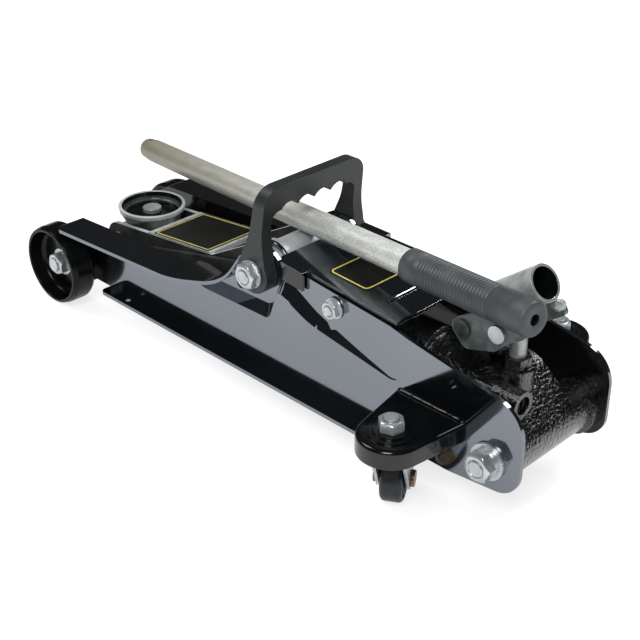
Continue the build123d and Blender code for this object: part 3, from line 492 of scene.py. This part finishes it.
# painted shade: the hole in the rear end is dark
slackAcross, slackAlong = grip["zoneSlack"]
for face in gripPiece.data.polygons:
    height, radius = fromAxis(face.center / mm, gripStart, barRun)
    if radius < hole + slackAcross and height > gripEnd - grip["holeDepth"] - slackAlong:
        face.material_index = 1
print("grip made")


# close-wound return spring, hooked over a stud on the arm and a stud on the casting
spring = {"front": (32.58, -31.8, 96.96), "rear": (190.0, -31.8, 88.5), "coil": 3.6, "wire": 1.0,
          "pitch": 3.2, "hook": 4.4, "hookFrom": (60, 180), "hookTurn": 300, "hookSteps": 20, "frontTail": 26,
          "rearTail": 12, "tailSteps": 4, "stepsPerTurn": 16, "sides": 7, "blendIn": 1, "blendOut": 4}
springFront = Vector(spring["front"])
springRear = Vector(spring["rear"])
springRun = (springRear - springFront).normalized()
springSide = Vector((0, 1, 0))
springUp = springSide.cross(springRun)
springLength = (springRear - springFront).length
hook, hookSteps, tailSteps = spring["hook"], spring["hookSteps"], spring["tailSteps"]


def hookPoint(stud, startAngle, i):
    turn = math.radians(startAngle + spring["hookTurn"] * i / hookSteps)
    return stud + (springRun * math.cos(turn) + springUp * math.sin(turn)) * hook


path = [hookPoint(springFront, spring["hookFrom"][0], i) for i in range(hookSteps)]
for i in range(tailSteps):
    path.append(springFront + springRun * (hook + (spring["frontTail"] - hook) * i / tailSteps))
coilLength = springLength - spring["frontTail"] - spring["rearTail"]
coilSteps = round(coilLength / spring["pitch"] * spring["stepsPerTurn"])
easeSteps = spring["stepsPerTurn"] / 2
for i in range(coilSteps + 1):
    turn = math.tau * i / spring["stepsPerTurn"]
    radius = spring["coil"] * min(1, i / easeSteps, (coilSteps - i) / easeSteps)
    along = spring["frontTail"] + coilLength * i / coilSteps
    spoke = springUp * math.cos(turn) + springSide * math.sin(turn)
    path.append(springFront + springRun * along + spoke * radius)
for i in range(1, tailSteps + 1):
    path.append(springRear - springRun * (spring["rearTail"] + (hook - spring["rearTail"]) * i / tailSteps))
path += [hookPoint(springRear, spring["hookFrom"][1], i) for i in range(1, hookSteps)]
springMesh = bmesh.new()
sweep(springMesh, path, [spring["wire"]] * len(path), spring["sides"])
bmesh.ops.recalc_face_normals(springMesh, faces=springMesh.faces)
springPiece = addPiece("coiled_return_spring", springMesh, "springWire", None)
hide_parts("return_spring")
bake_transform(springPiece)
print("spring made")


# fasteners: each is a stack of turned and hexagonal layers along its own axis,
# in mm from its place on the middle plane or on the floor
# a hexagon's land and bore are shares of its width, and its stud end is out from the bore and up from the top
hexagon = {"points": 48, "land": 0.46, "slope": 0.6, "bore": 0.33, "chamferSteps": 4, "middle": 0.5,
           "studEnd": ((0.5, 0), (0, -0.5), (-0.05, -0.9), (-0.4, -0.9), (-0.4, 0.1), (-1.0, 0.6))}
disc = {"soft": 0.35, "steps": 40}
fastening = {"merge": 0.004, "creaseOver": 32}  # mm and degrees


def stackLoops(mesh, levels):
    # levels are loops of (x, y) points with their heights; neighbouring loops are joined by a band
    rings = [[mesh.verts.new((x * mm, y * mm, z * mm)) for x, y in points] for points, z in levels]
    for first, second in zip(rings, rings[1:]):
        for k in range(len(first)):
            n = (k + 1) % len(first)
            mesh.faces.new((first[k], first[n], second[n], second[k]))
    mesh.faces.new(rings[0])
    mesh.faces.new(rings[-1])


def hexLoop(across, coneRadius, turn):
    # corners of a hexagon and points along its sides, kept inside a cone's radius
    points = []
    for k in range(hexagon["points"]):
        angle = math.tau * k / hexagon["points"]
        toFlat = (angle + math.pi / 6) % (math.pi / 3) - math.pi / 6
        radius = min(across / 2 / math.cos(math.pi / 6 - abs(toFlat)), coneRadius)
        place = angle + math.radians(turn)
        points.append((radius * math.cos(place), radius * math.sin(place)))
    return points


def addHex(mesh, across, low, high, turn):
    # hexagon whose corners are cut by a cone, with a stud end standing in its bore
    corner = across / math.sqrt(3)
    land = across * hexagon["land"]
    levels = [(hexLoop(across, corner, turn), low)]
    for i in range(hexagon["chamferSteps"] + 1):
        cone = corner + (land - corner) * i / hexagon["chamferSteps"]
        levels.append((hexLoop(across, cone, turn), high - (cone - land) * hexagon["slope"]))
    bore = across * hexagon["bore"]
    rounds = [(bore + outward, high + up) for outward, up in hexagon["studEnd"]]
    rounds.append((hexagon["middle"], rounds[-1][1]))
    for radius, z in rounds:
        # so wide a hexagon is cut all round, to a circle
        levels.append((hexLoop(4 * radius, radius, turn), z))
    stackLoops(mesh, levels)


def addLayer(mesh, kind, size, low, high, turn):
    soft = disc["soft"]
    if kind == "hex":
        addHex(mesh, size, low, high, turn)
    elif kind == "disc":
        addTurned(mesh, [(0, low), (size - soft, low), (size, low + soft), (size, high - soft),
                         (size - soft, high), (0, high)], disc["steps"])


def fastener(name, spec, replaced):
    mesh = bmesh.new()
    for place, direction in spec["places"]:
        one = bmesh.new()
        for layer in spec["layers"]:
            addLayer(one, *layer, spec["turn"])
        closeMesh(one, fastening["merge"])
        bmesh.ops.transform(one, matrix=aimed(place, direction), verts=one.verts)
        joinInto(mesh, one)
    piece = addPiece(name, mesh, "zincPlate", "frame")
    split = piece.modifiers.new("crease", "EDGE_SPLIT")
    split.split_angle = math.radians(fastening["creaseOver"])
    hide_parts(replaced)


def bothSides(x, z):
    return [((x, 0, z), (0, -1, 0)), ((x, 0, z), (0, 1, 0))]


fasteners = {
    "carry_handle_bolts": {"places": bothSides(10.5, 105), "turn": 12, "layers": [
        ("disc", 6, 24, 53.4), ("disc", 11, 53.3, 55.3), ("hex", 18, 55.2, 62)]},
    "cover_bolts": {"places": bothSides(89, 104), "turn": 40, "layers": [
        ("disc", 4, 36, 46.5), ("disc", 8.2, 46.19, 47.69), ("hex", 13, 47.6, 53)]},
    "rear_bolts": {"places": bothSides(233.5, 48), "turn": 8, "layers": [
        ("disc", 6, 26, 56), ("hex", 19, 55.5, 63.5)]},
    "front_axle_nuts": {"places": bothSides(-224, 35), "turn": 25, "layers": [("hex", 18, 65.3, 73)]},
    "caster_stem_nuts": {"places": [((184.8, side * 91.5, 0), (0, 0, 1)) for side in (-1, 1)], "turn": 20,
                         "layers": [("hex", 16, 70.5, 78)]},
}
for name, spec in fasteners.items():
    fastener("detailed_" + name, spec, name)
print("fasteners made:", len(fasteners))


# thin sheets with round corners
cornerSteps = 6


def roundedSheet(long, wide, corner, low, high):
    sheet = bmesh.new()
    bmesh.ops.create_cube(sheet, size=1)
    bmesh.ops.scale(sheet, vec=Vector((long, wide, high - low)) * mm, verts=sheet.verts)
    bmesh.ops.translate(sheet, vec=(0, 0, (low + high) / 2 * mm), verts=sheet.verts)
    upright = [e for e in sheet.edges if abs(e.verts[0].co.z - e.verts[1].co.z) > (high - low) / 2 * mm]
    bmesh.ops.bevel(sheet, geom=upright, offset=corner * mm, offset_type="OFFSET", segments=cornerSteps,
                    profile=0.5, affect="EDGES", material=-1)
    return sheet


# blank label panels with a thin printed keyline, on the arm and on the cover
ink = {"film": 0.3, "sunk": 0.05, "proud": 0.08}


def keylineFrame(long, wide, corner, line, low, high):
    # a rounded sheet with both faces inset and the middle opened
    ring = roundedSheet(long, wide, corner, low, high)
    ring.normal_update()
    flats = [face for face in ring.faces if abs(face.normal.z) > facingLeast]
    bmesh.ops.inset_individual(ring, faces=flats, thickness=line * mm, use_even_offset=True)
    bmesh.ops.delete(ring, geom=flats, context="FACES_ONLY")
    bmesh.ops.bridge_loops(ring, edges=[edge for edge in ring.edges if edge.is_boundary])
    return ring


def labelPanel(name, spec, body):
    lean = Matrix.Rotation(math.radians(spec["tilt"]), 4, "Y")
    place = Matrix.Translation(Vector(spec["centre"]) * mm) @ lean
    long, wide, corner, inset = spec["long"], spec["wide"], spec["corner"], spec["inset"]
    film = ink["film"]
    panel = roundedSheet(long, wide, corner, 0, film)
    line = keylineFrame(long - 2 * inset, wide - 2 * inset, corner, spec["line"], film - ink["sunk"],
                        film + ink["proud"])
    for mesh, suffix, material in ((panel, "", "labelFilm"), (line, "_keyline", "keyline")):
        bmesh.ops.recalc_face_normals(mesh, faces=mesh.faces)
        bmesh.ops.transform(mesh, matrix=place, verts=mesh.verts)
        addPiece(name + suffix, mesh, material, body, smooth=False)


labels = {
    "arm_label": ({"centre": (-105.1, 0, 81.95), "tilt": -6.21, "long": 70, "wide": 55, "corner": 1.5,
                   "inset": 1.6, "line": 0.9}, "lift_arm"),
    "cover_label": ({"centre": (86, 0, 118.5), "tilt": 2.59, "long": 39, "wide": 62, "corner": 4,
                     "inset": 1.2, "line": 1.2}, "frame"),
}
for name, (spec, body) in labels.items():
    labelPanel(name, spec, body)
print("labels made")


# pressed floors that close the oval recess in each side plate
recess = {"place": (205.5, 47.6, 92), "tilt": 18.5, "long": 15.6, "wide": 9.6, "cornerShare": 0.499,
          "thick": 1.0}
recessX, recessY, recessZ = recess["place"]
recessLean = Matrix.Rotation(math.radians(recess["tilt"]), 4, "Y") @ Matrix.Rotation(math.radians(90), 4, "X")
recessMesh = bmesh.new()
for side in (-1, 1):
    half = recess["thick"] / 2
    one = roundedSheet(recess["long"], recess["wide"], recess["wide"] * recess["cornerShare"], -half, half)
    spot = Matrix.Translation(Vector((recessX, side * recessY, recessZ)) * mm)
    bmesh.ops.transform(one, matrix=spot @ recessLean, verts=one.verts)
    joinInto(recessMesh, one)
bmesh.ops.recalc_face_normals(recessMesh, faces=recessMesh.faces)
addPiece("plate_recess_floors", recessMesh, "bracketPaintAndShade", "frame", smooth=False)
print("recess floors made")


# weld beads: where the caster brackets meet the side plates, and where the socket tube meets its yoke
bead = {"sides": 10, "endShare": 0.35, "leastSteps": 4}


def weldBead(name, spec, body, material):
    rng = random.Random(spec["seed"])
    mesh = bmesh.new()
    for start, finish in spec["runs"]:
        start = Vector(start)
        finish = Vector(finish)
        count = max(bead["leastSteps"], round((finish - start).length / spec["step"]))
        path = []
        radii = []
        for i in range(count + 1):
            ripple = spec["ripple"] if i % 2 else 0
            stray = Vector([rng.uniform(-1, 1) * spec["wander"] for _ in range(3)])
            path.append(start.lerp(finish, i / count) + stray)
            radii.append(spec["radius"] - ripple + rng.uniform(-1, 1) * spec["wander"])
        radii[0] = radii[-1] = spec["radius"] * bead["endShare"]
        sweep(mesh, path, radii, bead["sides"])
    bmesh.ops.recalc_face_normals(mesh, faces=mesh.faces)
    piece = addPiece(name, mesh, material, body)
    smooth = piece.modifiers.new("smooth", "SUBSURF")
    smooth.levels = 1
    smooth.render_levels = 1


welds = {
    "bracket_weld_beads": ({
        "seed": 4, "runs": [((153.5, side * 50.4, 67.6), (212.5, side * 50.4, 67.6)) for side in (-1, 1)],
        "step": 2.2, "radius": 2.0, "ripple": 0.25, "wander": 0.12},
        "frame", "bracketPaintAndShade", "black_enamel"),
    "socket_weld_beads": ({
        "seed": 9, "runs": [((232, side * 9, 141), (233.5, side * 21, 136.5)) for side in (-1, 1)],
        "step": 1.8, "radius": 4.9, "ripple": 1.3, "wander": 0.7},
        "handle_socket", "weldMetal", "dark_grey_paint"),
}
for name, (spec, body, material, slotName) in welds.items():
    weldBead(name, spec, body, material)
print("welds made")


# camera, floor and lamps
camera = {"place": (632.6, -606.4, 538.1), "target": (28.5, 0, 51.41), "lens": 71.39, "sensor": 36,
          "nearest": 10}
cameraData = bpy.data.cameras.new("photo_camera")
cameraData.lens = camera["lens"]
cameraData.sensor_width = camera["sensor"]
cameraData.clip_start = camera["nearest"] * mm
cameraObject = bpy.data.objects.new("photo_camera", cameraData)
cameraObject.location = Vector(camera["place"]) * mm
lookAlong = (Vector(camera["target"]) - Vector(camera["place"])) * mm
cameraObject.rotation_euler = lookAlong.to_track_quat("-Z", "Y").to_euler()
scene.collection.objects.link(cameraObject)
scene.camera = cameraObject

# the floor is white to the camera and a little darker in the gloss, and it keeps the jack's shadow
stage = {"reach": 20, "paper": "#c8c8c8", "shadowed": "#b0b0b0", "white": 0.75, "mirrored": 0.5,
         "room": 0.45, "mirroredRoom": 0.03}
floorMesh = bmesh.new()
bmesh.ops.create_grid(floorMesh, x_segments=1, y_segments=1, size=stage["reach"])
floorData = bpy.data.meshes.new("studio_floor")
floorMesh.to_mesh(floorData)
floorMesh.free()
floor = bpy.data.objects.new("studio_floor", floorData)
scene.collection.objects.link(floor)
floorMaterial = bpy.data.materials.new("white_studio_floor")
floorMaterial.use_nodes = True
tree = floorMaterial.node_tree
tree.nodes.clear()
rays = addNode(tree, "LightPath")
direct = addNode(tree, "Math", {0: rays.outputs["Is Camera Ray"], 1: rays.outputs["Is Transmission Ray"]},
                 operation="MAXIMUM")
seen = addNode(tree, "Math", {0: direct.outputs[0], 1: rays.outputs["Is Glossy Ray"]}, operation="MAXIMUM")
paper = addNode(tree, "BsdfDiffuse", {"Color": hexColour(stage["paper"])})
shadowed = addNode(tree, "BsdfDiffuse", {"Color": hexColour(stage["shadowed"])})
level = addNode(tree, "MapRange", {"Value": direct.outputs[0], "To Min": stage["mirrored"],
                                   "To Max": stage["white"]})
glow = addNode(tree, "Emission", {"Color": hexColour("#ffffff"), "Strength": level.outputs[0]})
lit = addNode(tree, "AddShader", {0: shadowed.outputs[0], 1: glow.outputs[0]})
mixed = addNode(tree, "MixShader", {0: seen.outputs[0], 1: paper.outputs[0], 2: lit.outputs[0]})
addNode(tree, "OutputMaterial", {"Surface": mixed.outputs[0]})
floorData.materials.append(floorMaterial)

world = bpy.data.worlds.new("studio_room")
scene.world = world
world.use_nodes = True
tree = world.node_tree
tree.nodes.clear()
rays = addNode(tree, "LightPath")
room = addNode(tree, "Background", {"Color": hexColour("#ffffff"), "Strength": stage["room"]})
dim = addNode(tree, "Background", {"Color": hexColour("#ffffff"), "Strength": stage["mirroredRoom"]})
mixed = addNode(tree, "MixShader", {0: rays.outputs["Is Glossy Ray"], 1: room.outputs[0],
                                    2: dim.outputs[0]})
addNode(tree, "OutputWorld", {"Surface": mixed.outputs[0]})

# lamps: places in metres
lamps = {
    "key_softbox": {"place": (0.9, -1.5, 1.9), "size": 0.9, "watts": 24},
    "fill_softbox": {"place": (-1.2, -0.6, 1.9), "size": 0.8, "watts": 10},
    "top_softbox": {"place": (0.1, 0.3, 2.2), "size": 1.2, "watts": 20},
    "back_softbox": {"place": (0.35, 1.5, 1.8), "size": 0.7, "watts": 18},
}
for name, lamp in lamps.items():
    light = bpy.data.lights.new(name, "AREA")
    light.size = lamp["size"]
    light.energy = lamp["watts"]
    lightObject = bpy.data.objects.new(name, light)
    lightObject.location = lamp["place"]
    lightObject.rotation_euler = (-Vector(lamp["place"])).to_track_quat("-Z", "Y").to_euler()
    # the overhead lamp lights the jack but isn't mirrored in the enamel
    lightObject.visible_glossy = name != "top_softbox"
    scene.collection.objects.link(lightObject)
print("stage set")
